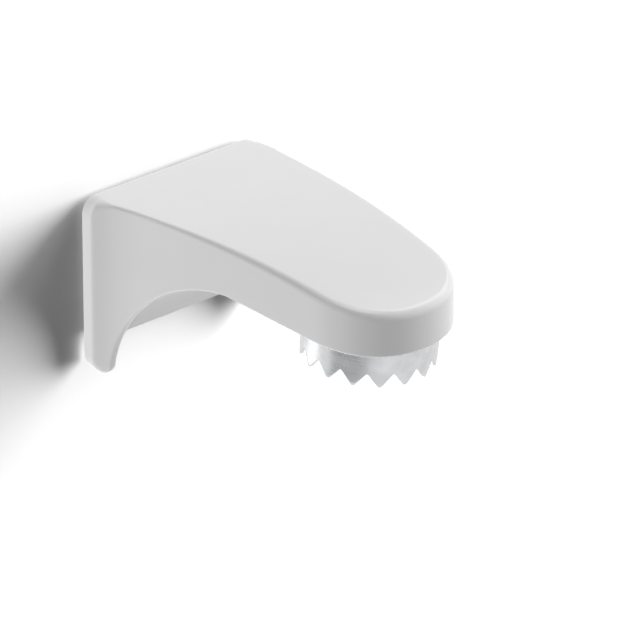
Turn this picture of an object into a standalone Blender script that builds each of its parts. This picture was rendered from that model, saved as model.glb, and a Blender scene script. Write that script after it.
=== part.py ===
# Wall-mounted magnetic soap holder. A white moulded bracket carries a magnet under the round end of
# its arm, and a toothed steel cap, made to be pressed into a bar of soap, clings to that magnet.
# Lengths are in metres. +Z is up, the wall is the plane y = 0 and the arm reaches out towards -Y.
# The origin is the centre of the pad's face on the wall.

import math

import bmesh
import bpy
from mathutils import Vector

mm = 0.001

# Flange, the squarish end of the bracket that lies on the wall
flange_width = 48 * mm
flange_height = 38.1 * mm
flange_edge = 3 * mm
flange_top_radius = 3.7 * mm
flange_foot_radius = 2.4 * mm
plate_height = 31.1 * mm

# Arm in plan, measured outwards from the back of the flange
arm_reach = 76 * mm
flare_end = 15 * mm
root_width = 42.4 * mm
tip_width = 33.6 * mm
tip_depth = 15.4 * mm
flare_power = 3
tip_power = 2.15

# Arm from the side: a slight crown, then a droop towards the tip
crown_place = 20 * mm
crown_height = 0.45 * mm
tip_drop = 6.75 * mm
droop_power = 2.3

# Arch and underside
foot_depth = 7.1 * mm
foot_radius = 2.6 * mm
arch_end = 38 * mm
arch_power = 1.9
arm_depth = 10.9 * mm
underside_fall = 4.5 * mm

# Walls and rounded edges of the bracket shell
side_wall = 1.8 * mm
top_wall = 2 * mm
plate_wall = 1.8 * mm
foot_lip = 0.5 * mm
edge_radius = 1.1 * mm
rim_radius = 0.5 * mm
inner_radius = 0.3 * mm
rib_wall = 1.2 * mm

# Cover that closes the shell's hollow
cover_wall = 1.4 * mm
cover_recess = 1 * mm
cover_power = 1.75
pocket_wall = 1.2 * mm
pocket_floor = 1.2 * mm

# Pot magnet
cup_radius = 10 * mm
cup_height = 5 * mm
cup_wall = 1.2 * mm
cup_floor = 1.5 * mm
cup_bevel = 0.3 * mm
magnet_bore = 3.3 * mm
magnet_recess = 0.1 * mm

# Screw that holds the pot magnet, and the boss it bites in
screw_radius = 1.5 * mm
screw_bite = 2.5 * mm
screw_point = 0.5 * mm
head_radius = 2.7 * mm
head_height = 1.6 * mm
head_crown = 0.5 * mm
boss_radius = 3.6 * mm

# Soap cap
cap_radius = 14 * mm
cap_height = 8 * mm
cap_sheet = 0.6 * mm
cap_bend = 1.3 * mm
tooth_height = 3.4 * mm
tooth_count = 16

# Foam pad between the bracket and the wall
pad_thickness = 1 * mm
pad_margin = 2 * mm
pad_corner = 3 * mm

# Clearance between pieces that touch, how far a cut runs past what it cuts, and how near two points
# of one piece are when they are welded
seat_gap = 0.3 * mm
overrun = 2 * mm
weld = 0.003 * mm

# How finely round stretches are divided
edge_steps = 5
rim_steps = 4
arch_steps = 16
foot_steps = 4
underside_steps = 8
tip_steps = 16
turn_steps = 48
tooth_steps = 4

round_start = arm_reach - tip_depth
flange_back = pad_thickness + seat_gap
flange_top = plate_height / 2
taper_share = (root_width - tip_width) / 2 / (round_start - flare_end)
fall_share = underside_fall / (arm_reach - arch_end)
tilt = math.atan(fall_share)


def fade(value, start, end):
    """1 up to start, 0 from end on, and an even slope between."""
    return min(max((end - value) / (end - start), 0), 1)


def place(x, out, height):
    """World point at a distance out from the flange's back and a height from the flange's top."""
    return Vector((x, -flange_back - out, flange_top + height))


# The bracket's outline from above and from the side


def straight_half(out):
    return tip_width / 2 + taper_share * (round_start - out)


def plan_half(out):
    """Half width of the arm between the flange and the round end."""
    flare = flange_width / 2 - straight_half(flange_edge)
    return straight_half(max(out, flange_edge)) + flare * fade(out, flange_edge, flare_end) ** flare_power


def tip_point(angle):
    """Point (x, out) of the round end, from its start at 0 to the tip at a right angle."""
    rise = math.sin(angle) ** (2 / tip_power)
    half = tip_width / 2 * max(math.cos(angle), 0) ** (2 / tip_power)
    return half - taper_share * tip_depth * rise * (1 - rise) ** 2, round_start + tip_depth * rise


def top_height(out):
    if out < crown_place:
        return crown_height * (1 - (1 - out / crown_place) ** 2)
    return crown_height - tip_drop * ((out - crown_place) / (arm_reach - crown_place)) ** droop_power


def arch_point(angle):
    """Point (out, height) of the arch, from its foot at 0 to the arm's underside at a right angle."""
    out = arch_end - (arch_end - foot_depth) * max(math.cos(angle), 0) ** (2 / arch_power)
    height = -flange_height + (flange_height - arm_depth) * math.sin(angle) ** (2 / arch_power)
    return out, height


def underside_height(out):
    return -arm_depth - fall_share * (out - arch_end)


def foot_line():
    """Points (out, height) of the lower edge from the wall to the arch, round the foot's corner."""
    start_angle = math.asin((foot_radius / (flange_height - arm_depth)) ** (arch_power / 2))
    corner_out = arch_point(start_angle)[0] - foot_radius
    points = [(0, -flange_height), (flange_edge, -flange_height)]
    for step in range(foot_steps + 1):
        turn = math.pi / 2 * step / foot_steps
        points.append((corner_out + foot_radius * math.sin(turn), -flange_height + foot_radius * (1 - math.cos(turn))))
    for step in range(1, arch_steps + 1):
        points.append(arch_point(start_angle + (math.pi / 2 - start_angle) * step / arch_steps))
    return points


def lower_edge():
    """Points (out, height) of the side wall's whole lower edge, up to the round end."""
    points = foot_line()
    for step in range(1, underside_steps + 1):
        out = arch_end + (round_start - arch_end) * step / underside_steps
        points.append((out, underside_height(out)))
    return points


def outline():
    """Rows (x, out, low height) along one side of the bracket, from the flange to the tip."""
    rows = [(plan_half(out), out, height) for out, height in lower_edge()]
    for step in range(1, tip_steps + 1):
        x, out = tip_point(math.pi / 2 * step / tip_steps)
        rows.append((x, out, underside_height(out)))
    return rows


def turned(before, after):
    """Unit vector at a right angle to the step between two points, on its right-hand side."""
    along = Vector(after) - Vector(before)
    return Vector((along.y, -along.x)).normalized()


def neighbours(points, index):
    return points[max(index - 1, 0)], points[min(index + 1, len(points) - 1)]


def side_normals(rows):
    """Normals (x, out) of the plan outline. They lie along X next to the wall, turn to the taper's own
    normal by the round end, and follow it from there to the tip."""
    flat = [(out, x) for x, out, _ in rows]
    normals = []
    for index, (_, out, _) in enumerate(rows):
        before, after = neighbours(flat, index)
        across = -turned(before, after)
        if out <= round_start:
            lean = math.atan(taper_share) * (1 - fade(out, arch_end, round_start))
            across = Vector((math.sin(lean), math.cos(lean)))
        normals.append((across.y, across.x))
    normals[-1] = (0, 1)
    return normals


def inset_rows(distance, back):
    """The outline moved inwards by a distance and cut off at a distance out from the flange's back."""
    rows = outline()
    moved = []
    for (x, out, low), (across, along) in zip(rows, side_normals(rows)):
        moved.append((max(x - across * distance, 0), out - along * distance, low))
    kept = [row for row in moved if row[1] > back]
    first = moved[len(moved) - len(kept) - 1]
    share = (back - first[1]) / (kept[0][1] - first[1])
    return [(first[0] + share * (kept[0][0] - first[0]), back, first[2])] + kept


# Solids made of sections


def half_solid(sections):
    """Skin over half sections that run from the mirror plane round to it again, closed at the first."""
    mesh = bmesh.new()
    grid = [[mesh.verts.new(point) for point in section] for section in sections]
    for row, following in zip(grid, grid[1:]):
        for column in range(len(row) - 1):
            mesh.faces.new((row[column], following[column], following[column + 1], row[column + 1]))
    mesh.faces.new(grid[0])
    bmesh.ops.remove_doubles(mesh, verts=mesh.verts, dist=weld)
    return mesh


def top_edge(x, out, normal, radius):
    """Rounded upper edge of one section, from the middle of the top to the side."""
    points = []
    for step in range(edge_steps + 1):
        turn = math.pi / 2 * step / edge_steps
        inset = radius * (1 - math.sin(turn))
        edge_out = out - normal[1] * inset
        drop = radius * (1 - math.cos(turn))
        points.append(place(max(x - normal[0] * inset, 0), edge_out, top_height(edge_out) - drop))
    return [place(0, out - normal[1] * radius, top_height(out - normal[1] * radius))] + points


def block_sections():
    """Sections of the bracket as a full block, with every outer edge rounded."""
    rows = outline()
    normals = side_normals(rows)
    low_points = [(out, low) for _, out, low in rows]
    sections = []
    for index, (x, out, low) in enumerate(rows):
        top_radius = edge_radius + (flange_top_radius - edge_radius) * fade(out, 0, flare_end) ** 2
        foot_fade = fade(out, foot_depth - foot_radius, flare_end) ** 2
        radius = rim_radius + (flange_foot_radius - rim_radius) * foot_fade
        down = turned(*neighbours(low_points, index)) if 0 < index < len(rows) - tip_steps else Vector((0, -1))
        section = top_edge(x, out, normals[index], top_radius)
        for step in range(rim_steps + 1):
            turn = math.pi / 2 * step / rim_steps
            inset = radius * (1 - math.cos(turn))
            rise = radius * (1 - math.sin(turn))
            rim_out = out - normals[index][1] * inset - down.x * rise
            section.append(place(max(x - normals[index][0] * inset, 0), rim_out, low - down.y * rise))
        section.append(place(0, out - normals[index][1] * radius, low))
        sections.append(section)
    return sections


def hollow_sections():
    """Sections of the hollow inside the shell, open at the bottom."""
    rows = inset_rows(side_wall, plate_wall)
    normals = side_normals(rows)
    floor = -flange_height - overrun
    sections = []
    for (x, out, _), normal in zip(rows, normals):
        outer_radius = edge_radius + (flange_top_radius - edge_radius) * fade(out, 0, flare_end) ** 2
        radius = max(outer_radius - side_wall, inner_radius)
        upper = [point - Vector((0, 0, top_wall)) for point in top_edge(x, out, normal, radius)]
        sections.append(upper + [place(x, out, floor), place(0, out, floor)])
    return sections


def cover_line():
    """Points (out, height) of the cover's outer face, from the foot of the back plate to the round end."""
    face = plate_wall + seat_gap + cover_wall
    top = -arm_depth + cover_recess
    points = []
    for step in range(arch_steps + 1):
        turn = math.pi / 2 * step / arch_steps
        out = arch_end - (arch_end - face) * max(math.cos(turn), 0) ** (2 / cover_power)
        points.append((out, -plate_height + (plate_height + top) * math.sin(turn) ** (2 / cover_power)))
    for step in range(1, underside_steps + 1):
        out = arch_end + (round_start - arch_end) * step / underside_steps
        points.append((out, underside_height(out) + cover_recess))
    return points


def cover_sections():
    """Sections of the cover, a bent strip that fills the width between the shell's side walls."""
    inset = side_wall + seat_gap
    line = cover_line()
    sections = []
    for index, (out, height) in enumerate(line):
        up = -turned(*neighbours(line, index)) if index else Vector((-1, 0))
        back_out, back_height = out + up.x * cover_wall, height + up.y * cover_wall
        half, back_half = plan_half(out) - inset, plan_half(back_out) - inset
        sections.append([
            place(0, back_out, back_height), place(back_half, back_out, back_height),
            place(half, out, height), place(0, out, height),
        ])
    for x, out, _ in inset_rows(inset, round_start + overrun):
        height = underside_height(out) + cover_recess
        sections.append([
            place(0, out, height + cover_wall), place(x, out, height + cover_wall),
            place(x, out, height), place(0, out, height),
        ])
    return sections


# Scene, materials and objects


def clear_scene():
    for existing in list(bpy.data.objects):
        bpy.data.objects.remove(existing)


def new_collection(name):
    collection = bpy.data.collections.new(name)
    bpy.context.scene.collection.children.link(collection)
    return collection


def new_material(name, colour, roughness, metallic):
    material = bpy.data.materials.new(name)
    material.use_nodes = True
    shader = material.node_tree.nodes["Principled BSDF"]
    shader.inputs["Base Color"].default_value = (*colour, 1)
    shader.inputs["Roughness"].default_value = roughness
    shader.inputs["Metallic"].default_value = metallic
    return material


def new_object(name, mesh, collection, material=None, parent=None):
    data = bpy.data.meshes.new(name)
    mesh.to_mesh(data)
    mesh.free()
    made = bpy.data.objects.new(name, data)
    collection.objects.link(made)
    made.parent = parent
    if material:
        data.materials.append(material)
        data.shade_smooth()
        data.set_sharp_from_angle(angle=math.radians(35))
    else:
        made.hide_render = True
        made.display_type = "WIRE"
    return made


def mirror(target):
    modifier = target.modifiers.new("Mirror", "MIRROR")
    modifier.merge_threshold = weld


def combine(target, tool, operation):
    modifier = target.modifiers.new(tool.name, "BOOLEAN")
    modifier.operation = operation
    modifier.object = tool


def turned_piece(name, profile, collection, material, closed, parent):
    """Solid of revolution about the parent's Z axis, from a profile of (radius, height) points."""
    mesh = bmesh.new()
    points = [mesh.verts.new((radius, 0, height)) for radius, height in profile]
    for start, end in zip(points, points[1:] + points[:1] if closed else points[1:]):
        mesh.edges.new((start, end))
    made = new_object(name, mesh, collection, material, parent)
    modifier = made.modifiers.new("Turn", "SCREW")
    modifier.steps = turn_steps
    modifier.render_steps = turn_steps
    modifier.use_merge_vertices = True
    modifier.merge_threshold = weld
    return made


def cylinder(name, radius, bottom, top, collection, parent):
    """Cutter or boss along the parent's Z axis."""
    mesh = bmesh.new()
    bmesh.ops.create_cone(
        mesh, cap_ends=True, segments=turn_steps, radius1=radius, radius2=radius, depth=top - bottom
    )
    made = new_object(name, mesh, collection, None, parent)
    made.location = (0, 0, (bottom + top) / 2)
    return made


def box(name, low, high, collection):
    mesh = bmesh.new()
    bmesh.ops.create_cube(mesh, size=1)
    for vertex in mesh.verts:
        vertex.co = Vector([a + (b - a) * (c + 0.5) for a, b, c in zip(low, high, vertex.co)])
    return new_object(name, mesh, collection)


# The pieces


def bracket_shell(parts, cutters, material, magnet_frame):
    shell = new_object("bracket_shell", half_solid(block_sections()), parts, material)
    mirror(shell)
    hollow = new_object("shell_hollow", half_solid(hollow_sections()), cutters)
    mirror(hollow)
    combine(shell, hollow, "DIFFERENCE")

    rib_half = plan_half(arch_end) - side_wall / 2
    cover_back = -arm_depth + cover_recess + cover_wall
    low = place(-rib_half, arch_end + rib_wall / 2, cover_back + seat_gap)
    high = place(rib_half, arch_end - rib_wall / 2, top_height(arch_end) - top_wall / 2)
    combine(shell, box("cover_rib", low, high, cutters), "UNION")

    cut_half = flange_width / 2 - side_wall - foot_lip
    low = place(-cut_half, plate_wall + seat_gap, -flange_height - overrun)
    high = place(cut_half, -overrun, -plate_height)
    combine(shell, box("plate_cut", low, high, cutters), "DIFFERENCE")

    boss_foot = cup_height + pocket_floor + 2 * seat_gap
    boss_top = boss_foot + screw_bite
    roof = top_height(round_start) - top_wall / 2 - underside_height(round_start)
    boss = cylinder("screw_boss", boss_radius, boss_foot, roof, cutters, magnet_frame)
    combine(shell, boss, "UNION")
    bore = cylinder("boss_bore", screw_radius + seat_gap, boss_foot - overrun, boss_top, cutters, magnet_frame)
    combine(shell, bore, "DIFFERENCE")


def underside_cover(parts, cutters, material, magnet_frame):
    cover = new_object("underside_cover", half_solid(cover_sections()), parts, material)
    mirror(cover)
    pocket_radius = cup_radius + seat_gap
    pocket_top = cup_height + seat_gap
    pocket_foot = cover_recess + cover_wall / 2
    outer = cylinder(
        "pocket_outside", pocket_radius + pocket_wall, pocket_foot, pocket_top + pocket_floor, cutters, magnet_frame
    )
    combine(cover, outer, "UNION")
    inner = cylinder("pocket_inside", pocket_radius, -overrun, pocket_top, cutters, magnet_frame)
    combine(cover, inner, "DIFFERENCE")
    hole_top = pocket_top + pocket_floor + overrun
    hole = cylinder("pocket_hole", screw_radius + seat_gap, 0, hole_top, cutters, magnet_frame)
    combine(cover, hole, "DIFFERENCE")


def magnet_cup(parts, material, magnet_frame):
    inner = cup_radius - cup_wall
    hole = screw_radius + seat_gap
    profile = [
        (hole, cup_height), (cup_radius - cup_bevel, cup_height), (cup_radius, cup_height - cup_bevel),
        (cup_radius, cup_bevel), (cup_radius - cup_bevel, 0), (inner, 0),
        (inner, cup_height - cup_floor), (hole, cup_height - cup_floor),
    ]
    turned_piece("magnet_cup", profile, parts, material, True, magnet_frame)


def magnet_ring(parts, material, magnet_frame):
    outer = cup_radius - cup_wall - seat_gap
    top = cup_height - cup_floor - seat_gap
    profile = [
        (magnet_bore, top), (outer, top), (outer, magnet_recess + cup_bevel),
        (outer - cup_bevel, magnet_recess), (magnet_bore, magnet_recess),
    ]
    turned_piece("magnet_ring", profile, parts, material, True, magnet_frame)


def magnet_screw(parts, material, magnet_frame):
    head_top = cup_height - cup_floor - seat_gap
    tip = cup_height + pocket_floor + 2 * seat_gap + screw_bite - seat_gap
    profile = [
        (0, tip), (screw_radius - screw_point, tip), (screw_radius, tip - screw_point),
        (screw_radius, head_top), (head_radius, head_top), (head_radius, head_top - head_height + head_crown),
        (head_radius - head_crown, head_top - head_height), (0, head_top - head_height),
    ]
    turned_piece("magnet_screw", profile, parts, material, False, magnet_frame)


def soap_cap(parts, material, magnet_frame):
    """Pressed steel cap: a disc whose skirt ends in teeth. Its wall is Solidify's, inwards."""
    mesh = bmesh.new()
    top = -seat_gap
    root = cap_height - tooth_height
    profile = [(0, top), (cap_radius / 2, top)]
    for step in range(edge_steps + 1):
        turn = math.pi / 2 * step / edge_steps
        profile.append((cap_radius - cap_bend * (1 - math.sin(turn)), top - cap_bend * (1 - math.cos(turn))))
    profile += [(cap_radius, top - root), (cap_radius, top - cap_height)]
    line = [mesh.verts.new((radius, 0, height)) for radius, height in profile]
    edges = [mesh.edges.new(pair) for pair in zip(line, line[1:])]
    bmesh.ops.spin(
        mesh, geom=line + edges, cent=(0, 0, 0), axis=(0, 0, 1), angle=2 * math.pi,
        steps=tooth_count * tooth_steps, use_duplicate=False,
    )
    bmesh.ops.remove_doubles(mesh, verts=mesh.verts, dist=weld)
    for vertex in mesh.verts:
        if vertex.co.z < top - root - seat_gap:
            turn_share = math.atan2(vertex.co.y, vertex.co.x) / (2 * math.pi) * tooth_count
            wave = 1 - abs(2 * (turn_share % 1) - 1)
            vertex.co.z = top - root - cap_sheet / 2 - (tooth_height - cap_sheet / 2) * wave
    bmesh.ops.recalc_face_normals(mesh, faces=mesh.faces)
    cap = new_object("soap_cap", mesh, parts, material, magnet_frame)
    sheet = cap.modifiers.new("Sheet", "SOLIDIFY")
    sheet.thickness = cap_sheet
    sheet.offset = -1
    sheet.use_even_offset = True


def wall_pad(parts, material):
    mesh = bmesh.new()
    bmesh.ops.create_cube(mesh, size=1)
    size = Vector((flange_width - 2 * pad_margin, pad_thickness, plate_height - 2 * pad_margin))
    for vertex in mesh.verts:
        vertex.co = Vector([a * b for a, b in zip(vertex.co, size)])
    through = [edge for edge in mesh.edges if abs(edge.verts[0].co.y - edge.verts[1].co.y) > pad_thickness / 2]
    bmesh.ops.bevel(mesh, geom=through, offset=pad_corner, segments=edge_steps, profile=0.5, affect="EDGES")
    pad = new_object("wall_pad", mesh, parts, material)
    pad.location = (0, -pad_thickness / 2, 0)


def magnetic_soap_holder():
    clear_scene()
    parts = new_collection("magnetic_soap_holder")
    cutters = new_collection("cutters")

    white = new_material("white_plastic", (0.86, 0.86, 0.87), 0.28, 0)
    cover_white = new_material("cover_plastic", (0.84, 0.84, 0.85), 0.34, 0)
    zinc = new_material("zinc_steel", (0.62, 0.64, 0.66), 0.32, 1)
    nickel = new_material("nickel_plate", (0.72, 0.71, 0.68), 0.2, 1)
    screw_steel = new_material("screw_steel", (0.55, 0.56, 0.58), 0.3, 1)
    stainless = new_material("stainless_steel", (0.66, 0.67, 0.68), 0.24, 1)
    foam = new_material("foam_tape", (0.8, 0.8, 0.78), 0.9, 0)

    magnet_frame = bpy.data.objects.new("magnet_frame", None)
    parts.objects.link(magnet_frame)
    magnet_frame.location = place(0, round_start, underside_height(round_start))
    magnet_frame.rotation_euler = (tilt, 0, 0)

    bracket_shell(parts, cutters, white, magnet_frame)
    underside_cover(parts, cutters, cover_white, magnet_frame)
    magnet_cup(parts, zinc, magnet_frame)
    magnet_ring(parts, nickel, magnet_frame)
    magnet_screw(parts, screw_steel, magnet_frame)
    soap_cap(parts, stainless, magnet_frame)
    wall_pad(parts, foam)


magnetic_soap_holder()
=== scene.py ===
import math

import bpy
from mathutils import Matrix, Vector


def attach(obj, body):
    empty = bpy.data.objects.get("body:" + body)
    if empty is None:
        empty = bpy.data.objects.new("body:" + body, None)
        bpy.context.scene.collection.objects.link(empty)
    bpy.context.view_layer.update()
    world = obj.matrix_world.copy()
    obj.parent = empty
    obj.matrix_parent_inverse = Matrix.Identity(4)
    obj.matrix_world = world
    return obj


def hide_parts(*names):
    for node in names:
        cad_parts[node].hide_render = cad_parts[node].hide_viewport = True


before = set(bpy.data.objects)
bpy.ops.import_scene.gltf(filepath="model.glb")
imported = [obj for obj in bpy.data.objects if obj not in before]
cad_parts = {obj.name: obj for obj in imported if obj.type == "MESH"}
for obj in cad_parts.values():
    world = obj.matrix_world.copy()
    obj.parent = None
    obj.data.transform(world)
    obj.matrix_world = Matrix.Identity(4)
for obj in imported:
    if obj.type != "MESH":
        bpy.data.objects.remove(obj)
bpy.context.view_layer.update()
mm = 0.001


# shader helpers
noiseRange = (0.3, 0.7)  # where most of a noise lies


class Socket:
    # wraps a value socket, so that maths on it is written as an expression
    def __init__(self, tree, link):
        self.tree, self.link = tree, link

    def maths(self, operation, *others):
        return self.tree.node("ShaderNodeMath", {"operation": operation}, dict(enumerate((self, *others))))

    def __add__(self, other):
        return self.maths("ADD", other)

    def __mul__(self, other):
        return self.maths("MULTIPLY", other)

    def __pow__(self, other):
        return self.maths("POWER", other)

    def __rpow__(self, other):
        return self.tree.node("ShaderNodeMath", {"operation": "POWER"}, {0: other, 1: self})

    __radd__, __rmul__ = __add__, __mul__


class NodeTree:
    # a material's or the world's nodes, with one way to add a node
    def __init__(self, owner):
        owner.use_nodes = True
        self.tree = owner.node_tree

    def node(self, kind, settings, values, out=0):
        made = self.tree.nodes.new(kind)
        for key, value in settings.items():
            if key == "stops":
                self.setStops(made.color_ramp, value)
            else:
                setattr(made, key, value)
        self.setInputs(made, values)
        return Socket(self, made.outputs[out])

    def setStops(self, ramp, stops):
        while len(ramp.elements) < len(stops):
            ramp.elements.new(0.5)
        for element, (position, colour) in zip(ramp.elements, stops):
            element.position, element.color = position, (*colour, 1)

    def setInputs(self, made, values):
        for key, value in values.items():
            if isinstance(value, Socket):
                self.tree.links.new(value.link, made.inputs[key])
            else:
                made.inputs[key].default_value = value


class Shader(NodeTree):
    # one material on its Principled BSDF
    def __init__(self, name, colour, roughness, metallic=0.0):
        self.material = bpy.data.materials.new(name)
        super().__init__(self.material)
        self.bsdf = self.tree.nodes["Principled BSDF"]
        self.setInputs(self.bsdf, {"Base Color": (*colour, 1), "Roughness": roughness, "Metallic": metallic})
        self.coords = self.node("ShaderNodeTexCoord", {}, {}, out="Object")

    def noise(self, scale, detail=2.0, roughness=0.5, coords=None):
        values = {"Vector": coords or self.coords, "Scale": scale, "Detail": detail, "Roughness": roughness}
        return self.node("ShaderNodeTexNoise", {}, values, out="Fac")

    def stops(self, factor, *stops):
        return self.node("ShaderNodeValToRGB", {"stops": stops}, {"Fac": factor}, out="Color")

    def spread(self, noise, low, high):
        # stretches most of a noise from low to high
        start, end = noiseRange
        values = {"Value": noise, "From Min": start, "From Max": end, "To Min": low, "To Max": high}
        return self.node("ShaderNodeMapRange", {}, values, out="Result")

    def bump(self, height, strength, distance):
        values = {"Height": height, "Strength": strength, "Distance": distance}
        return self.node("ShaderNodeBump", {}, values, out="Normal")

    def feed(self, name, value):
        self.setInputs(self.bsdf, {name: value})


# modelling helpers
def clearPick():
    for thing in bpy.context.selected_objects:
        thing.select_set(False)


def pick(thing):
    clearPick()
    thing.select_set(True)
    bpy.context.view_layer.objects.active = thing


def named(name):
    made = bpy.context.object
    made.name = made.data.name = name
    return made


def applyAll(thing):
    pick(thing)
    for modifier in list(thing.modifiers):
        bpy.ops.object.modifier_apply(modifier=modifier.name)


def settle(thing):
    # the piece's place goes in its mesh, and its object sits at the origin
    pick(thing)
    thing.parent = None
    bpy.ops.object.transform_apply(location=True, rotation=True, scale=True)


def weld(thing, distance=0.002 * mm):
    pick(thing)
    bpy.ops.object.mode_set(mode="EDIT")
    bpy.ops.mesh.select_all(action="SELECT")
    bpy.ops.mesh.remove_doubles(threshold=distance)
    bpy.ops.mesh.normals_make_consistent(inside=False)
    bpy.ops.object.mode_set(mode="OBJECT")


def editEdges(thing, wanted):
    # edit mode with only the edges picked whose two ends pass the test
    pick(thing)
    bpy.ops.object.mode_set(mode="EDIT")
    bpy.ops.mesh.select_mode(type="EDGE")
    bpy.ops.mesh.select_all(action="DESELECT")
    bpy.ops.object.mode_set(mode="OBJECT")
    for edge in thing.data.edges:
        edge.select = wanted(*(thing.data.vertices[i].co for i in edge.vertices))
    bpy.ops.object.mode_set(mode="EDIT")


def smooth(thing, angle=40):
    pick(thing)
    bpy.ops.object.shade_smooth_by_angle(angle=math.radians(angle))


def soften(thing, width, angle):
    # a small bevel on the edges that turn by more than the angle
    bevel = thing.modifiers.new("SoftEdge", "BEVEL")
    bevel.width, bevel.segments = width, 2
    bevel.limit_method, bevel.angle_limit = "ANGLE", math.radians(angle)


def cut(thing, tool, operation="DIFFERENCE"):
    modifier = thing.modifiers.new("Cut", "BOOLEAN")
    modifier.operation, modifier.object = operation, tool
    pick(thing)
    bpy.ops.object.modifier_apply(modifier=modifier.name)
    bpy.data.objects.remove(tool)


def gridPiece(name, rows):
    # a grid primitive whose points are moved on the given rows of points
    clearPick()
    bpy.ops.mesh.primitive_grid_add(x_subdivisions=len(rows[0]) - 1, y_subdivisions=len(rows) - 1, size=1)
    made = named(name)
    made.data.vertices.foreach_set("co", [value for row in rows for point in row for value in point])
    made.data.update()
    return made


def fade(value, start, end):
    return min(max((end - value) / (end - start), 0), 1)


# bracket shell
shell = {
    "flangeWidth": 48 * mm, "flangeHeight": 38.08 * mm, "flangeEdge": 3 * mm, "topRadius": 3.7 * mm,
    "footRadius": 3.4 * mm, "plateHeight": 31.1 * mm, "reach": 76 * mm, "flareEnd": 15 * mm,
    "rootWidth": 42.4 * mm, "tipWidth": 33.6 * mm, "tipDepth": 15.4 * mm, "tipPower": 2.15,
    "crownPlace": 20 * mm, "crownHeight": 0.45 * mm, "tipDrop": 6.75 * mm, "droopPower": 2.3,
    "footDepth": 6.6 * mm, "footCorner": 2.6 * mm, "archEnd": 38 * mm, "archPower": 1.9,
    "armDepth": 10.9 * mm, "fall": 4.5 * mm, "sideWall": 1.5 * mm, "topWall": 2 * mm, "plateWall": 1.8 * mm,
    "edgeRadius": 1.6 * mm, "creaseRadius": 0.75 * mm, "rimRadius": 0.5 * mm, "innerRim": 0.45 * mm,
    "backRadius": 0.15 * mm, "cornerStart": 2.2 * mm, "cornerEnd": 8.5 * mm, "cornerPower": 1.6,
    "rimStart": 1.2 * mm, "rimEnd": 5 * mm, "flarePower": 3, "wallGap": 1.3 * mm, "footLip": 0.5 * mm,
    "ribWall": 1.2 * mm, "bossRadius": 3.6 * mm, "boreRadius": 1.8 * mm, "boreFoot": 4 * mm,
    "boreDepth": 2.5 * mm, "plateRings": (1.2 * mm, 0.8 * mm), "footLean": 0.12, "mergeStep": 0.003 * mm,
}
# the cover's values come here already, because the shell's rib and boss are made to fit it
cover = {
    "wall": 1.4 * mm, "recess": 1 * mm, "power": 1.75, "gap": 0.3 * mm, "pocketRadius": 10.3 * mm,
    "pocketWall": 1.2 * mm, "pocketTop": 5.3 * mm, "pocketFloor": 1.2 * mm, "mouthRadius": 0.35 * mm,
    "mouthStep": 0.01 * mm, "overrun": 2 * mm, "holeRadius": 1.8 * mm, "holeFoot": 2 * mm, "holeTop": 8 * mm,
    "rowStep": 0.2 * mm, "smoothAngle": 35,
}
turns = {"fine": 128, "plain": 48}  # points round a turned piece
roundStart = shell["reach"] - shell["tipDepth"]
taperShare = (shell["rootWidth"] - shell["tipWidth"]) / 2 / (roundStart - shell["flareEnd"])
fallShare = shell["fall"] / (shell["reach"] - shell["archEnd"])
footRise = shell["flangeHeight"] - shell["armDepth"]


def place(x, out, height):
    # x, out from the flange's back and height from its top, as a point of the frame
    return (x, -shell["wallGap"] - out, shell["plateHeight"] / 2 + height)


def straightHalf(out):
    return shell["tipWidth"] / 2 + taperShare * (roundStart - out)


def planHalf(out):
    flare = shell["flangeWidth"] / 2 - straightHalf(shell["flangeEdge"])
    share = fade(out, shell["flangeEdge"], shell["flareEnd"]) ** shell["flarePower"]
    return straightHalf(max(out, shell["flangeEdge"])) + flare * share


def tipPoint(turn):
    rise = math.sin(turn) ** (2 / shell["tipPower"])
    half = shell["tipWidth"] / 2 * max(math.cos(turn), 0) ** (2 / shell["tipPower"])
    inwards = taperShare * shell["tipDepth"] * rise * (1 - rise) ** 2
    return half - inwards, roundStart + shell["tipDepth"] * rise


def topHeight(out):
    if out < shell["crownPlace"]:
        return shell["crownHeight"] * (1 - (1 - out / shell["crownPlace"]) ** 2)
    share = (out - shell["crownPlace"]) / (shell["reach"] - shell["crownPlace"])
    return shell["crownHeight"] - shell["tipDrop"] * share ** shell["droopPower"]


def undersideHeight(out):
    return -shell["armDepth"] - fallShare * (out - shell["archEnd"])


def archPoint(turn):
    power = 2 / shell["archPower"]
    out = shell["archEnd"] - (shell["archEnd"] - shell["footDepth"]) * max(math.cos(turn), 0) ** power
    return out, -shell["flangeHeight"] + footRise * math.sin(turn) ** power


def lowerEdge(footSteps=10, archSteps=48, straightSteps=16, leanRounds=4, nudge=0.01):
    # the foot's corner runs on into the arch with no kink, so it turns a little less than a right angle
    lean = shell["footLean"]
    for _ in range(leanRounds):
        start = math.asin((shell["footCorner"] * (1 - math.sin(lean)) / footRise) ** (shell["archPower"] / 2))
        near, far = archPoint(start - nudge), archPoint(start + nudge)
        lean = math.atan((far[0] - near[0]) / (far[1] - near[1]))
    corner = archPoint(start)[0] - shell["footCorner"] * math.cos(lean)
    back = shell["plateWall"]
    points = [(back + (corner - back) * share, -shell["flangeHeight"]) for share in (0, 0.25, 0.5, 0.75)]
    for step in range(footSteps + 1):
        turn = (math.pi / 2 - lean) * step / footSteps
        low = -shell["flangeHeight"] + shell["footCorner"] * (1 - math.cos(turn))
        points.append((corner + shell["footCorner"] * math.sin(turn), low))
    for step in range(1, archSteps + 1):
        points.append(archPoint(start + (math.pi / 2 - start) * step / archSteps))
    for step in range(1, straightSteps + 1):
        out = shell["archEnd"] + (roundStart - shell["archEnd"]) * step / straightSteps
        points.append((out, undersideHeight(out)))
    return points


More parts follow.
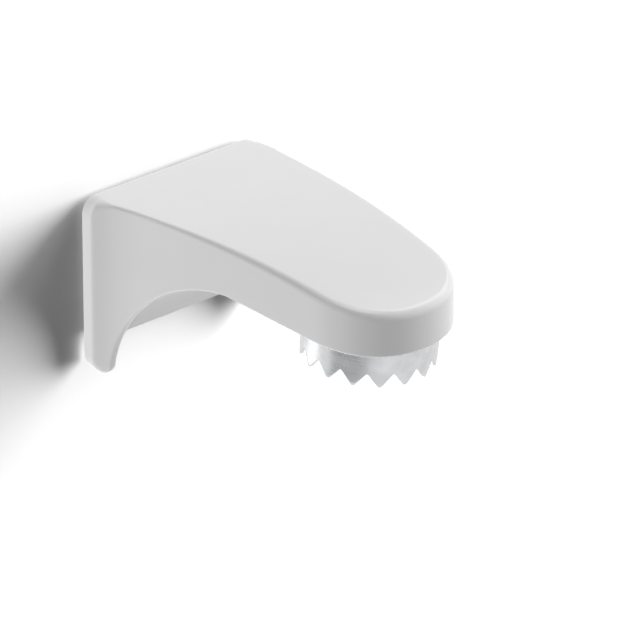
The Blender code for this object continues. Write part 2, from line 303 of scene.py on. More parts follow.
def lineNormal(points, index):
    # right-hand normal of a line of points
    before, after = points[max(index - 1, 0)], points[min(index + 1, len(points) - 1)]
    along = Vector((after[0] - before[0], after[1] - before[1])).normalized()
    return Vector((along.y, -along.x))


def tipRows(steps):
    # the round end's outline: x, out and the normal in plan, from beside its start to its middle
    tip = [tipPoint(math.pi / 2 * step / steps) for step in range(steps + 1)]
    return [(*tip[i], lineNormal(tip, i) if i < steps else Vector((0, 1))) for i in range(1, steps + 1)]


def shellRows(tipSteps=56):
    # x or nothing, out, low edge, normal in plan (x, out), normal of the lower edge (out, height)
    edge = lowerEdge()
    rows = []
    for index, (out, low) in enumerate(edge):
        lean = math.atan(taperShare) * (1 - fade(out, shell["archEnd"], roundStart))
        down = lineNormal(edge, index) if index < len(edge) - 1 else Vector((-fallShare, -1)).normalized()
        rows.append((None, out, low, (math.cos(lean), math.sin(lean)), down))
    for x, out, across in tipRows(tipSteps):
        rows.append((x, out, undersideHeight(out), tuple(across), Vector((0, -1))))
    return rows


def edgeRadiusAt(out):
    # the flange's round corner runs quickly into a crisp edge, which softens along the arm
    along = 1 - fade(out, shell["flareEnd"], roundStart)
    crisp = shell["creaseRadius"] + (shell["edgeRadius"] - shell["creaseRadius"]) * along
    share = fade(out, shell["cornerStart"], shell["cornerEnd"]) ** shell["cornerPower"]
    return crisp + (shell["topRadius"] - crisp) * share


def rimRadiusAt(out):
    # wide at the flange's foot and crisp round the arch
    share = fade(out, shell["rimStart"], shell["rimEnd"])
    return shell["rimRadius"] + (shell["footRadius"] - shell["rimRadius"]) * share


def rimRise(radius, inset):
    return radius * (1 - math.sqrt(1 - (1 - inset / radius) ** 2)) if inset < radius else 0


def edgeSpot(row, inset, shift=0.0):
    # x and out of a point of the row, this far in from the outline and this far back
    x, out, _, (nx, ny), _ = row
    half = planHalf(out - shift) if x is None else x
    return max(half - nx * inset, 0), out - ny * inset - shift


def outerColumns(row, edgeSteps=12, rimSteps=7):
    # the middle of the top, over the upper edge, down the side and round the rim's outer edge
    _, out, low, _, down = row
    radius, rim = edgeRadiusAt(out), rimRadiusAt(out)
    points = []
    start, startOut = edgeSpot(row, radius)
    for share in (0, 0.3, 0.6, 0.85, 0.95):
        points.append(place(start * share, startOut, topHeight(startOut)))
    for step in range(edgeSteps + 1):
        turn = math.pi / 2 * step / edgeSteps
        acrossX, acrossOut = edgeSpot(row, radius * (1 - math.sin(turn)))
        points.append(place(acrossX, acrossOut, topHeight(acrossOut) - radius * (1 - math.cos(turn))))
    top, bottom = topHeight(out) - radius, low - down.y * rim
    for share in (0.03, 0.12, 0.3, 0.5, 0.7, 0.88, 0.97):
        acrossX, acrossOut = edgeSpot(row, 0, down.x * rim * share)
        points.append(place(acrossX, acrossOut, top + (bottom - top) * share))
    last = math.acos(max(1 - (shell["sideWall"] - shell["innerRim"]) / rim, 0))
    for step in range(rimSteps + 1):
        turn = last * step / rimSteps
        rise = rim * (1 - math.sin(turn))
        acrossX, acrossOut = edgeSpot(row, rim * (1 - math.cos(turn)), down.x * rise)
        points.append(place(acrossX, acrossOut, low - down.y * rise))
    return points


def innerColumns(row, rimSteps=4, edgeSteps=5):
    # round the rim's inner edge, up the inner side and along the roof to the middle
    _, out, low, _, down = row
    rim, inner, wall = rimRadiusAt(out), shell["innerRim"], shell["sideWall"]
    points = []
    for step in range(1 if rim > wall - inner else 0, rimSteps + 1):
        turn = math.pi / 2 * step / rimSteps
        inset = wall - inner * (1 - math.sin(turn))
        rise = rimRise(rim, wall - inner) + inner * (1 - math.cos(turn))
        acrossX, acrossOut = edgeSpot(row, inset, down.x * rise)
        points.append(place(acrossX, acrossOut, low - down.y * rise))
    if rim > wall - inner:
        points.insert(0, tuple(a + (b - a) * 0.5 for a, b in zip(outerColumns(row)[-1], points[0])))
    fillet = max(edgeRadiusAt(out) - wall, inner)
    roof = topHeight(edgeSpot(row, wall + fillet)[1]) - shell["topWall"]
    foot = low - down.y * inner
    for share in (0.15, 0.4, 0.7, 0.9):
        acrossX, acrossOut = edgeSpot(row, wall, down.x * inner * (1 - share))
        points.append(place(acrossX, acrossOut, foot + (roof - fillet - foot) * share))
    for step in range(edgeSteps + 1):
        turn = math.pi / 2 * step / edgeSteps
        acrossX, acrossOut = edgeSpot(row, wall + fillet * (1 - math.cos(turn)))
        height = topHeight(acrossOut) - shell["topWall"] - fillet * (1 - math.sin(turn))
        points.append(place(acrossX, acrossOut, height))
    edgeX, edgeOut = edgeSpot(row, wall + fillet)
    for share in (0.8, 0.5, 0.2, 0):
        points.append(place(edgeX * share, edgeOut, topHeight(edgeOut) - shell["topWall"]))
    return points


def plateRows():
    # the back plate with its rounded back edge, from the first section to the wall side
    row = shellRows()[0]
    window = shell["flangeWidth"] / 2 - shell["sideWall"] - shell["footLip"]
    radius = shell["backRadius"]
    rows = []
    outs = [shell["plateWall"], *shell["plateRings"]]
    outs += [radius * (1 - math.cos(math.pi / 2 * (1 - step / 6))) for step in range(7)]
    for out in outs:
        flat = outerColumns((row[0], out, row[2], (1, 0), Vector((0, -1))))
        inset = radius - math.sqrt(max(radius ** 2 - (radius - out) ** 2, 0)) if out < radius else 0
        section = []
        for index, point in enumerate(flat):
            before, after = flat[max(index - 1, 0)], flat[min(index + 1, len(flat) - 1)]
            along = Vector((after[0] - before[0], 0, after[2] - before[2])).normalized()
            section.append((max(point[0] + along.z * inset, 0), point[1], point[2] - along.x * inset))
        inner, lip = shell["innerRim"], shell["sideWall"] + shell["footLip"]
        level = rimRise(rimRadiusAt(out), shell["sideWall"] - inner)
        depths = [(shell["sideWall"] - inner + shell["footLip"] * share, 0) for share in (0.33, 0.66)]
        for step in range(5):
            turn = math.pi / 2 * step / 4
            depths.append((lip - inner * (1 - math.sin(turn)), inner * (1 - math.cos(turn))))
        for depth, rise in depths:
            foot = -shell["flangeHeight"] + level + rise + inset
            section.append(place(shell["flangeWidth"] / 2 - depth, out, foot))
        section.append(place(window, out, -shell["plateHeight"]))
        section.append(place(0, out, -shell["plateHeight"]))
        rows.append(section)
    return rows


def turnedPiece(name, profile, steps=96, closed=True):
    # a circle's first point drawn out along the profile of (radius, height), then spun about Z
    clearPick()
    bpy.ops.mesh.primitive_plane_add(size=1)
    made = named(name)
    bpy.ops.object.mode_set(mode="EDIT")
    bpy.ops.mesh.select_mode(type="VERT")
    bpy.ops.mesh.select_all(action="SELECT")
    bpy.ops.mesh.delete(type="ONLY_FACE")
    bpy.ops.mesh.select_all(action="SELECT")
    bpy.ops.mesh.merge(type="CENTER")
    bpy.ops.transform.translate(value=(profile[0][0], 0, profile[0][1]))
    for (radius, height), (nextRadius, nextHeight) in zip(profile, profile[1:]):
        step = (nextRadius - radius, 0, nextHeight - height)
        bpy.ops.mesh.extrude_region_move(TRANSFORM_OT_translate={"value": step})
    if closed:
        step = (profile[0][0] - profile[-1][0], 0, profile[0][1] - profile[-1][1])
        bpy.ops.mesh.extrude_region_move(TRANSFORM_OT_translate={"value": step})
    bpy.ops.mesh.select_all(action="SELECT")
    bpy.ops.mesh.spin(steps=steps, angle=2 * math.pi, center=(0, 0, 0), axis=(0, 0, 1))
    bpy.ops.object.mode_set(mode="OBJECT")
    weld(made)
    return made


def magnetPlace(thing):
    # from the magnet's own frame, its face at height 0, to the frame of the part
    thing.location = place(0, roundStart, undersideHeight(roundStart))
    thing.rotation_euler = (math.atan(fallShare), 0, 0)
    settle(thing)
    return thing


def magnetPlug(name, radius, foot, top, steps=turns["plain"]):
    # a plain round body on the magnet's axis, as a tool
    return magnetPlace(turnedPiece(name, [(0, foot), (radius, foot), (radius, top), (0, top)], steps, False))


def makeShell():
    rows = shellRows()
    skin = gridPiece("shellSkin", [outerColumns(row) + innerColumns(row) for row in rows])
    plate = gridPiece("shellPlate", plateRows())
    pick(skin)
    plate.select_set(True)
    bpy.ops.object.join()
    mirror = skin.modifiers.new("Mirror", "MIRROR")
    mirror.merge_threshold = shell["mergeStep"]
    applyAll(skin)
    weld(skin, shell["mergeStep"])
    bpy.ops.object.mode_set(mode="EDIT")
    bpy.ops.mesh.select_all(action="SELECT")
    bpy.ops.mesh.fill_holes(sides=0)
    bpy.ops.mesh.select_all(action="SELECT")
    bpy.ops.mesh.normals_make_consistent(inside=False)
    bpy.ops.object.mode_set(mode="OBJECT")

    ribHalf = planHalf(shell["archEnd"]) - shell["sideWall"] / 2
    ribFoot = -shell["armDepth"] + cover["recess"] + cover["wall"] + cover["gap"]
    ribTop = topHeight(shell["archEnd"]) - shell["topWall"] / 2
    clearPick()
    bpy.ops.mesh.primitive_cube_add(
        size=1, location=place(0, shell["archEnd"], (ribFoot + ribTop) / 2),
        scale=(2 * ribHalf, shell["ribWall"], ribTop - ribFoot),
    )
    cut(skin, named("coverRib"), "UNION")

    bossFoot = cover["pocketTop"] + cover["pocketFloor"] + cover["gap"]
    roof = topHeight(roundStart) - shell["topWall"] / 2 - undersideHeight(roundStart)
    cut(skin, magnetPlug("screwBoss", shell["bossRadius"], bossFoot, roof), "UNION")
    boreTop = bossFoot + shell["boreDepth"]
    cut(skin, magnetPlug("bossBore", shell["boreRadius"], shell["boreFoot"], boreTop))
    smooth(skin)
    return skin


# the white mouldings' finish; each plastic is its colour, its roughness and the strength of its waves
plastic = {
    "white": ((0.86, 0.86, 0.865), 0.25, 0.2), "cover": ((0.84, 0.84, 0.845), 0.38, 0.3), "cloudScale": 60,
    "cloudDark": 0.992, "cloudLight": 1.006, "glossScale": 140, "smoother": 0.015, "rougher": 0.02,
    "waveScale": 90, "waveHeight": 0.01 * mm, "ior": 1.49,
}


def makePlastic(name, colour, roughness, waves):
    # faint clouds in the white, a little uneven gloss and the soft waves of a moulded skin
    shader = Shader(name, colour, roughness)
    dark = tuple(c * plastic["cloudDark"] for c in colour)
    light = tuple(min(c * plastic["cloudLight"], 1) for c in colour)
    clouds, gloss = shader.noise(plastic["cloudScale"], 2), shader.noise(plastic["glossScale"], 3)
    low, high = roughness - plastic["smoother"], roughness + plastic["rougher"]
    shader.feed("Base Color", shader.stops(clouds, (noiseRange[0], dark), (noiseRange[1], light)))
    shader.feed("Roughness", shader.spread(gloss, low, high))
    shader.feed("Normal", shader.bump(shader.noise(plastic["waveScale"], 1), waves, plastic["waveHeight"]))
    shader.feed("IOR", plastic["ior"])
    return shader


whitePlastic = makePlastic("whitePlasticGloss", *plastic["white"])
coverPlastic = makePlastic("coverPlasticSatin", *plastic["cover"])


def dress(thing, shader, body, slot, *nodes):
    thing.data.materials.clear()
    thing.data.materials.append(shader.material)
    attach(thing, body)
    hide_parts(*nodes)


shellSkin = makeShell()
dress(shellSkin, whitePlastic, "bracket", "white_plastic", "bracket_shell")
print("bracket shell made,", len(shellSkin.data.vertices), "points")


# underside cover
def coverRows(bendSteps=44, straightSteps=14, tipSteps=40):
    face = shell["plateWall"] + cover["gap"] + cover["wall"]
    top = -shell["armDepth"] + cover["recess"]
    inset = shell["sideWall"] + cover["gap"]
    line = []
    for step in range(bendSteps + 1):
        turn = math.pi / 2 * step / bendSteps
        out = shell["archEnd"] - (shell["archEnd"] - face) * max(math.cos(turn), 0) ** (2 / cover["power"])
        rise = (shell["plateHeight"] + top) * math.sin(turn) ** (2 / cover["power"])
        line.append((out, -shell["plateHeight"] + rise))
    for step in range(1, straightSteps + 1):
        out = shell["archEnd"] + (roundStart - shell["archEnd"]) * step / straightSteps
        line.append((out, undersideHeight(out) + cover["recess"]))
    rows = [(planHalf(out) - inset, out, height) for out, height in line]
    for x, out, across in tipRows(tipSteps):
        spotOut = out - across.y * inset
        if spotOut > roundStart + cover["rowStep"]:
            rows.append((max(x - across.x * inset, 0), spotOut, undersideHeight(spotOut) + cover["recess"]))
    return rows


def makeCover():
    shares = (0, 0.25, 0.5, 0.75, 0.9, 1)
    rows = [[place(half * share, out, height) for share in shares] for half, out, height in coverRows()]
    skin = gridPiece("coverSkin", rows)
    mirror = skin.modifiers.new("Mirror", "MIRROR")
    mirror.merge_threshold = shell["mergeStep"]
    sheet = skin.modifiers.new("Wall", "SOLIDIFY")
    sheet.thickness, sheet.offset, sheet.use_even_offset = cover["wall"], -1, True
    applyAll(skin)
    weld(skin)
    foot, top = cover["recess"] + cover["wall"] / 2, cover["pocketTop"]
    outside = cover["pocketRadius"] + cover["pocketWall"]
    roof = top + cover["pocketFloor"]
    cut(skin, magnetPlug("pocketOutside", outside, foot, roof, turns["fine"]), "UNION")
    radius, mouth, face = cover["pocketRadius"], cover["mouthRadius"], cover["recess"]
    profile = [(0, -cover["overrun"]), (radius + 2 * mouth, -cover["overrun"])]
    profile.append((radius + 2 * mouth, face - cover["mouthStep"]))
    for step in range(7):
        turn = math.pi / 2 * step / 6
        profile.append((radius + mouth * (1 - math.sin(turn)), face + mouth * (1 - math.cos(turn))))
    inside = turnedPiece("pocketInside", profile + [(radius, top), (0, top)], turns["fine"], False)
    cut(skin, magnetPlace(inside))
    cut(skin, magnetPlug("pocketHole", cover["holeRadius"], cover["holeFoot"], cover["holeTop"]))
    smooth(skin, cover["smoothAngle"])
    return skin


coverSkin = makeCover()
print("cover made,", len(coverSkin.data.vertices), "points")
dress(coverSkin, coverPlastic, "bracket", "cover_plastic", "underside_cover")


# wall pad
pad = {
    "width": 44 * mm, "height": 27.1 * mm, "thickness": 1 * mm, "corner": 3 * mm, "film": 0.12 * mm,
    "filmStep": 0.07 * mm, "softEdge": 0.03 * mm, "softAngle": 50, "colour": (0.8, 0.8, 0.78),
    "roughness": 0.9, "cellScale": 3500, "cellEdge": 0.9, "cellLight": (0.83, 0.83, 0.81),
    "cellDark": (0.7, 0.7, 0.68), "cellStrength": 0.5, "cellDepth": 0.05 * mm, "grainScale": 1200,
    "smoothest": 0.82, "roughest": 0.96,
}


def makePad():
    clearPick()
    bpy.ops.mesh.primitive_cube_add(
        size=1, location=(0, -pad["thickness"] / 2, 0), scale=(pad["width"], pad["thickness"], pad["height"])
    )
    made = named("wallPadFoam")
    settle(made)
    editEdges(made, lambda start, end: abs(start.y - end.y) > pad["thickness"] / 2)
    bpy.ops.mesh.bevel(offset=pad["corner"], segments=12, affect="EDGES")
    film, step, back = pad["film"], pad["filmStep"] / 2, -pad["thickness"]
    for y in (-film, -film - step, back + film + step, back + film):
        bpy.ops.mesh.select_all(action="SELECT")
        bpy.ops.mesh.bisect(plane_co=(0, y, 0), plane_no=(0, 1, 0))
    bpy.ops.object.mode_set(mode="OBJECT")
    inner = pad["thickness"] / 2 - pad["film"] - pad["filmStep"] / 4
    for vertex in made.data.vertices:
        if abs(vertex.co.y + pad["thickness"] / 2) < inner:
            for axis in (0, 2):
                half = (pad["width"], 0, pad["height"])[axis] / 2
                vertex.co[axis] *= (half - pad["filmStep"]) / half
    soften(made, pad["softEdge"], pad["softAngle"])
    applyAll(made)
    smooth(made)
    return made


foam = Shader("foamTape", pad["colour"], pad["roughness"])
cellSockets = {"Vector": foam.coords, "Scale": pad["cellScale"], "Randomness": 1}
foamCells = foam.node("ShaderNodeTexVoronoi", {}, cellSockets, out="Distance")
foam.feed("Base Color", foam.stops(foamCells, (0.0, pad["cellLight"]), (pad["cellEdge"], pad["cellDark"])))
foam.feed("Roughness", foam.spread(foam.noise(pad["grainScale"], 3), pad["smoothest"], pad["roughest"]))
foam.feed("Normal", foam.bump(foamCells, pad["cellStrength"], pad["cellDepth"]))

padFoam = makePad()
dress(padFoam, foam, "bracket", "foam_tape", "wall_pad")
print("wall pad made,", len(padFoam.data.vertices), "points")


# pot magnet: cup and ring
magnet = {
    "cupRadius": 10 * mm, "cupHeight": 5 * mm, "cupWall": 1.2 * mm, "cupFloor": 1.5 * mm,
    "cupRound": 0.7 * mm, "lip": 0.25 * mm, "edge": 0.15 * mm, "innerRound": 0.3 * mm, "screwHole": 1.8 * mm,
    "ringRadius": 8.5 * mm, "ringTop": 3.2 * mm, "bore": 3.3 * mm, "recess": 0.1 * mm, "chamfer": 0.3 * mm,
    "boreShare": 0.7,
}


def rounded(corners, steps=5):
    # a profile of (radius, height, rounding) corners as points, each corner cut by an arc
    points = []
    for index, (x, z, size) in enumerate(corners):
        corner = Vector((x, z))
        if size == 0:
            points.append((x, z))
            continue
        before, after = corners[index - 1], corners[(index + 1) % len(corners)]
        toBefore = (Vector(before[:2]) - corner).normalized()
        toAfter = (Vector(after[:2]) - corner).normalized()
        for step in range(steps + 1):
            turn = math.pi / 2 * step / steps
            spot = corner + toBefore * size * (1 - math.sin(turn)) + toAfter * size * (1 - math.cos(turn))
            points.append((spot.x, spot.y))
    return points


def makeCup():
    edge, hole, outside, top = magnet["edge"], magnet["screwHole"], magnet["cupRadius"], magnet["cupHeight"]
    inside, floor = outside - magnet["cupWall"], top - magnet["cupFloor"]
    corners = [
        (hole, top, edge), (outside, top, magnet["cupRound"]), (outside, 0, magnet["lip"]), (inside, 0, edge),
        (inside, floor, magnet["innerRound"]), (hole, floor, edge),
    ]
    cup = magnetPlace(turnedPiece("magnetCupSteel", rounded(corners), turns["fine"]))
    smooth(cup)
    return cup


def makeRing():
    edge, bore, outside = magnet["edge"], magnet["bore"], magnet["ringRadius"]
    top, face, chamfer = magnet["ringTop"], magnet["recess"], magnet["chamfer"]
    corners = [
        (bore, top, edge), (outside, top, edge), (outside, face, chamfer),
        (bore, face, chamfer * magnet["boreShare"]),
    ]
    ring = magnetPlace(turnedPiece("magnetRingNickel", rounded(corners), turns["fine"]))
    smooth(ring)
    return ring


def turnCoords(shader):
    # the object's points about the magnet's axis: radius, turn and height
    tilt = math.atan(fallShare)
    centre = Vector(place(0, roundStart, undersideHeight(roundStart)))
    shift = tuple(Matrix.Rotation(-tilt, 3, "X") @ -centre)
    sockets = {"Vector": shader.coords, "Location": shift, "Rotation": (-tilt, 0, 0)}
    local = shader.node("ShaderNodeMapping", {"vector_type": "POINT"}, sockets)
    x, y, z = (shader.node("ShaderNodeSeparateXYZ", {}, {0: local}, out=axis) for axis in range(3))
    radius = (x * x + y * y) ** 0.5
    return radius, y.maths("ARCTAN2", x), z


# metal finishes; each one is its colour, its roughness, the strength of its scratches and the rings' scale
metal = {
    "zinc": ((0.62, 0.64, 0.66), 0.34, 0.35, 9000), "nickel": ((0.72, 0.71, 0.68), 0.2, 0.15, 14000),
    "screw": ((0.55, 0.56, 0.58), 0.32, 0.3, 12000), "stainless": ((0.66, 0.67, 0.68), 0.26, 0.25, 5000),
    "stainScale": 350, "stainStart": 0.25, "stainEnd": 0.75, "stainDark": 0.86, "stainLight": 1.06,
    "turnScale": 1.5, "smoother": 0.07, "rougher": 0.09, "patchScale": 120, "patchLow": -0.03,
    "patchHigh": 0.05, "scratchHeight": 0.004 * mm,
}


def turnedMetal(name, colour, roughness, scratch, ringScale):
    # metal with fine turning rings and small stains
    shader = Shader(name, colour, roughness, 1.0)
    radius, turn, height = turnCoords(shader)
    dark = tuple(c * metal["stainDark"] for c in colour)
    light = tuple(min(c * metal["stainLight"], 1) for c in colour)
    stains = shader.noise(metal["stainScale"], 4)
    shader.feed("Base Color", shader.stops(stains, (metal["stainStart"], dark), (metal["stainEnd"], light)))
    sockets = {0: radius * ringScale, 1: turn * metal["turnScale"], 2: height * ringScale}
    rings = shader.noise(1, 3, 0.6, shader.node("ShaderNodeCombineXYZ", {}, sockets))
    low, high = roughness - metal["smoother"], roughness + metal["rougher"]
    patches = shader.spread(shader.noise(metal["patchScale"], 2), metal["patchLow"], metal["patchHigh"])
    shader.feed("Roughness", shader.spread(rings, low, high) + patches)
    shader.feed("Normal", shader.bump(rings, scratch, metal["scratchHeight"]))
    return shader


zincSteel = turnedMetal("zincPlate", *metal["zinc"])
nickelPlate = turnedMetal("nickelPlateBright", *metal["nickel"])
magnetCupSteel = makeCup()
dress(magnetCupSteel, zincSteel, "bracket", "zinc_steel", "magnet_cup")
magnetRingNickel = makeRing()
dress(magnetRingNickel, nickelPlate, "bracket", "nickel_plate", "magnet_ring")
print("pot magnet made")


# magnet screw
screw = {
    "radius": 1.5 * mm, "headRadius": 2.7 * mm, "headTop": 3.2 * mm, "headHeight": 1.6 * mm,
    "headRound": 0.6 * mm, "headEdge": 0.12 * mm, "headRim": 0.25 * mm, "tip": 9.0 * mm,
    "tipLength": 1.2 * mm, "tipShare": 0.35, "slotWidth": 0.62 * mm, "slotLength": 2.9 * mm,
    "slotDepth": 0.95 * mm, "slotOverrun": 0.2 * mm, "slotEndShare": 0.55, "slotSideShare": 0.8,
    "steps": 64, "smoothAngle": 30,
}


def makeScrew():
    radius, head, tip, top = screw["radius"], screw["headRadius"], screw["tip"], screw["headTop"]
    foot = top - screw["headHeight"]
    corners = [
        (0, tip, 0), (radius * screw["tipShare"], tip, 0), (radius, tip - screw["tipLength"], 0),
        (radius, top, 0), (head, top, screw["headEdge"]),
        (head, foot + screw["headRim"], screw["headRound"]), (0, foot, 0),
    ]
    made = turnedPiece("magnetScrewSteel", rounded(corners, 6), screw["steps"], False)
    middleHeight = foot + screw["slotDepth"] / 2
    depth = screw["slotDepth"] + 2 * screw["slotOverrun"]
    length, width = screw["slotLength"], screw["slotWidth"]
    end, side = screw["slotEndShare"], screw["slotSideShare"]
    for size, shrink in (((length, width), (end, side)), ((width, length), (side, end))):
        # one bar of the cross slot, narrower at its deep end
        clearPick()
        bpy.ops.mesh.primitive_cube_add(
            size=1, location=(0, 0, middleHeight - screw["slotOverrun"]), scale=(*size, depth)
        )
        tool = named("slotTool")
        settle(tool)
        for vertex in tool.data.vertices:
            if vertex.co.z > middleHeight:
                vertex.co.x *= shrink[0]
                vertex.co.y *= shrink[1]
        cut(made, tool)
    magnetPlace(made)
    smooth(made, screw["smoothAngle"])
    return made


platedScrew = turnedMetal("screwPlate", *metal["screw"])
magnetScrewSteel = makeScrew()
dress(magnetScrewSteel, platedScrew, "bracket", "screw_steel", "magnet_screw")
print("screw made")


# soap cap
cap = {
    "radius": 14 * mm, "height": 8 * mm, "sheet": 0.6 * mm, "bend": 1.3 * mm, "tooth": 3.4 * mm, "teeth": 16,
    "toothSteps": 12, "toothFlat": 0.06, "toothPower": 0.9, "toothStart": 0.05 * mm, "top": -0.3 * mm,
    "rim": 0.06 * mm, "rimAngle": 60, "faceShares": (0.25, 0.5, 0.7, 0.82),
}


def makeCap():
    root = cap["height"] - cap["tooth"]
    profile = [(cap["radius"] * share, cap["top"]) for share in (0, *cap["faceShares"])]
    for step in range(11):
        turn = math.pi / 2 * step / 10
        inset, drop = cap["bend"] * (1 - math.sin(turn)), cap["bend"] * (1 - math.cos(turn))
        profile.append((cap["radius"] - inset, cap["top"] - drop))
    for share in (0.4, 0.75, 1):
        profile.append((cap["radius"], cap["top"] - cap["bend"] - (root - cap["bend"]) * share))
    for share in (0.25, 0.5, 0.75, 1):
        profile.append((cap["radius"], cap["top"] - root - cap["tooth"] * share))
    made = turnedPiece("soapCapSteel", profile, cap["teeth"] * cap["toothSteps"], False)
    for vertex in made.data.vertices:
        below = cap["top"] - root - vertex.co.z
        if below > cap["toothStart"]:
            share = math.atan2(vertex.co.y, vertex.co.x) / (2 * math.pi) * cap["teeth"]
            wave = 1 - abs(2 * (share % 1) - 1)
            wave = (wave - cap["toothFlat"]) / (1 - 2 * cap["toothFlat"])
            wave = min(max(wave, 0), 1) ** cap["toothPower"]
            reach = cap["sheet"] / 2 + (cap["tooth"] - cap["sheet"] / 2) * wave
            vertex.co.z = cap["top"] - root - reach * below / cap["tooth"]
    weld(made)
    wall = made.modifiers.new("Sheet", "SOLIDIFY")
    wall.thickness, wall.offset, wall.use_even_offset = cap["sheet"], -1, True
    soften(made, cap["rim"], cap["rimAngle"])
    applyAll(made)
    magnetPlace(made)
    smooth(made)
    return made


stainless = turnedMetal("stainlessPressed", *metal["stainless"])
soapCapSteel = makeCap()
dress(soapCapSteel, stainless, "cap", "stainless_steel", "soap_cap")
print("soap cap made,", len(soapCapSteel.data.vertices), "points")


# camera
view = {
    "spot": (-0.862, -0.971, 0.584), "target": (0.0043, -0.0421, -0.0068), "sensor": 36, "lens": 387.2,
    "clip": (0.05, 50),
}


def makeCamera():
    spot, target = Vector(view["spot"]), Vector(view["target"])
    clearPick()
    bpy.ops.object.camera_add(location=spot, rotation=(target - spot).to_track_quat("-Z", "Y").to_euler())
    camera = bpy.context.object
    camera.data.sensor_width, camera.data.lens = view["sensor"], view["lens"]
    camera.data.clip_start, camera.data.clip_end = view["clip"]
    bpy.context.scene.camera = camera


makeCamera()
print("camera placed")


# wall and floor, which aren't part of the object
stage = {
    "size": 3.2, "wallGap": 0.2 * mm, "floorDrop": 0.4, "wallShade": 0.4, "floorShade": 0.88,
    "roughness": 0.9, "grainScale": 30, "smoothest": 0.85, "roughest": 0.95,
}


def makeStage(name, location, rotation, shade):
    # seen by the camera from its front only, so that views from behind look through it
    clearPick()
    bpy.ops.mesh.primitive_plane_add(size=stage["size"], location=location, rotation=rotation)
    made = named(name)
    settle(made)
    paint = Shader(name + "Paint", (shade,) * 3, stage["roughness"])
    paint.feed("Specular IOR Level", 0)
    grain = paint.noise(stage["grainScale"], 2)
    paint.feed("Roughness", paint.spread(grain, stage["smoothest"], stage["roughest"]))
    clear = paint.node("ShaderNodeBsdfTransparent", {}, {})
    behind = paint.node("ShaderNodeNewGeometry", {}, {}, out="Backfacing")
    front = Socket(paint, paint.bsdf.outputs[0])
    seen = paint.node("ShaderNodeMixShader", {}, {0: behind, 1: front, 2: clear})
    paint.setInputs(paint.tree.nodes["Material Output"], {"Surface": seen})
    made.data.materials.append(paint.material)
    made.visible_diffuse = made.visible_glossy = made.visible_transmission = made.visible_shadow = False
    return made


wall = makeStage("paleWall", (0, stage["wallGap"], 0), (math.pi / 2, 0, 0), stage["wallShade"])
floor = makeStage("paleFloor", (0, -stage["size"] / 2, -stage["floorDrop"]), (0, 0, 0), stage["floorShade"])


# boards seen only in reflections, behind the flange and under it: the dark one draws the line along the near
# edge, the grey one gives the steel some contrast, and the bright ones draw the light edges; in millimetres
boards = {
    "darkBehind": {"at": (-142, 58, 141), "turn": -138, "rise": 43, "size": (115, 145), "glow": 0},
    "greyBelow": {"at": (-523, -185, -256), "turn": -74, "rise": -25, "size": (720, 240), "glow": 0.35},
    "brightBehind": {"at": (-122, 133, 12), "turn": 180, "rise": 0, "size": (125, 275), "glow": 1.9},
    "brightBelow": {"at": (-217, 84, -395), "turn": -118, "rise": -60, "size": (200, 200), "glow": 2.2},
}
boardCloth = {"colour": (0.01, 0.01, 0.01), "grainScale": 40, "smoothest": 0.9, "roughest": 1.0}
middle = Vector((0, -35 * mm, -2 * mm))  # what the lamps point at


def wayTo(turn, rise):
    # turn 0 lies in front of the wall, 90 to the right of it
    turn, rise = math.radians(turn), math.radians(rise)
    return Vector((math.sin(turn) * math.cos(rise), -math.cos(turn) * math.cos(rise), math.sin(rise)))


def makeBoard(name, board):
    way = wayTo(board["turn"], board["rise"])
    clearPick()
    spot, turned = [value * mm for value in board["at"]], way.to_track_quat("Z", "Y").to_euler()
    bpy.ops.mesh.primitive_plane_add(size=1, location=spot, rotation=turned)
    made = named(name)
    made.scale = (board["size"][0] * mm, board["size"][1] * mm, 1)
    settle(made)
    cloth = Shader(name + "Cloth", boardCloth["colour"], boardCloth["roughest"])
    cloth.feed("Specular IOR Level", 0)
    cloth.feed("Emission Color", (1, 1, 1, 1))
    cloth.feed("Emission Strength", board["glow"])
    grain = cloth.noise(boardCloth["grainScale"], 2)
    cloth.feed("Roughness", cloth.spread(grain, boardCloth["smoothest"], boardCloth["roughest"]))
    made.data.materials.append(cloth.material)
    made.visible_camera = made.visible_diffuse = made.visible_transmission = made.visible_shadow = False


for name, board in boards.items():
    makeBoard(name, board)
print("wall, floor and boards placed")


# light
lights = {
    "key": {"turn": 62, "rise": 15, "size": (0.5, 0.4), "level": 0.39, "shows": False},
    "lowKey": {"turn": 62, "rise": -15, "size": (0.5, 0.4), "level": 0.226, "shows": False},
    "rightTop": {"turn": 90, "rise": 45, "size": (0.5, 0.4), "level": 0.249, "shows": True},
    "top": {"turn": 0, "rise": 80, "size": (0.5, 0.4), "level": 0.237, "shows": True},
    "lowLeft": {"turn": -100, "rise": -45, "size": (0.5, 0.4), "level": 0.49, "shows": False},
    "left": {"turn": -100, "rise": 12, "size": (0.22, 0.3), "level": 0.05, "shows": False},
    "rear": {"turn": 180, "rise": 12, "size": (0.5, 0.4), "level": 0.42, "shows": False},
}
lampDistance = 0.85
wallLights = {
    "wallSide": {"turn": 63, "rise": 10, "softness": 50, "level": 4.5},
    "wallAbove": {"turn": 60, "rise": 42, "softness": 40, "level": 0.7},
}
world = {"front": 0.241, "back": 0.35, "blend": 0.35}


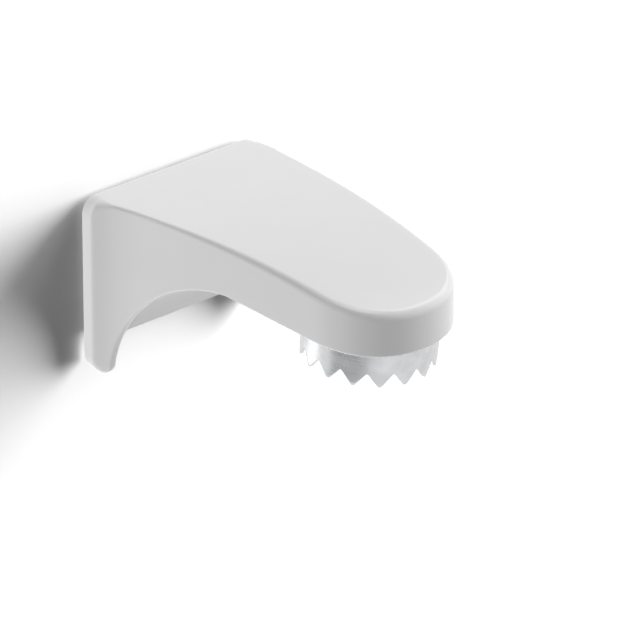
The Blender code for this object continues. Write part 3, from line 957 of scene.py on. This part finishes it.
def makeLamp(name, settings):
    way = wayTo(settings["turn"], settings["rise"])
    clearPick()
    spot, turned = middle + way * lampDistance, way.to_track_quat("Z", "Y").to_euler()
    bpy.ops.object.light_add(type="AREA", location=spot, rotation=turned)
    lamp = bpy.context.object
    lamp.name = name
    lamp.data.shape = "RECTANGLE"
    lamp.data.size, lamp.data.size_y = settings["size"]
    lamp.data.energy = settings["level"] * (math.pi * lampDistance) ** 2
    lamp.visible_glossy = settings["shows"]
    return lamp


for name, settings in lights.items():
    makeLamp(name, settings)


def makeWorld():
    # soft light on the object, a little more from behind the wall, and a white background to look at
    sky = bpy.data.worlds.new("paleStudio")
    bpy.context.scene.world = sky
    tree = NodeTree(sky)
    way = tree.node("ShaderNodeTexCoord", {}, {}, out="Generated")
    along = tree.node("ShaderNodeSeparateXYZ", {}, {0: way}, out="Y")
    values = {"Value": along, "From Min": -world["blend"], "From Max": world["blend"]}
    values.update({"To Min": world["front"], "To Max": world["back"]})
    light = tree.node("ShaderNodeMapRange", {}, values, out="Result")
    rays = ("Is Camera Ray", "Is Glossy Ray", "Is Transmission Ray")
    camera, glossy, through = (tree.node("ShaderNodeLightPath", {}, {}, out=ray) for ray in rays)
    seen = camera.maths("MAXIMUM", glossy).maths("MAXIMUM", through)
    strength = tree.node("ShaderNodeMix", {}, {"Factor": seen, 2: light, 3: 1.0})  # 2 and 3: its two numbers
    tree.setInputs(tree.tree.nodes["Background"], {"Color": (1, 1, 1, 1), "Strength": strength})


makeWorld()


def makeWallLamps():
    # they shine on the wall and the floor only, so that these are pale and keep the object's shadow
    receivers = bpy.data.collections.new("stageOnly")
    receivers.objects.link(wall)
    receivers.objects.link(floor)
    for name, settings in wallLights.items():
        way = wayTo(settings["turn"], settings["rise"])
        clearPick()
        bpy.ops.object.light_add(type="SUN", location=way, rotation=way.to_track_quat("Z", "Y").to_euler())
        lamp = bpy.context.object
        lamp.name = name
        lamp.data.energy = settings["level"] * math.pi
        lamp.data.angle = math.radians(settings["softness"])
        lamp.light_linking.receiver_collection = receivers


makeWallLamps()
print("lamps placed")
bpy.context.scene.view_settings.view_transform = "Standard"
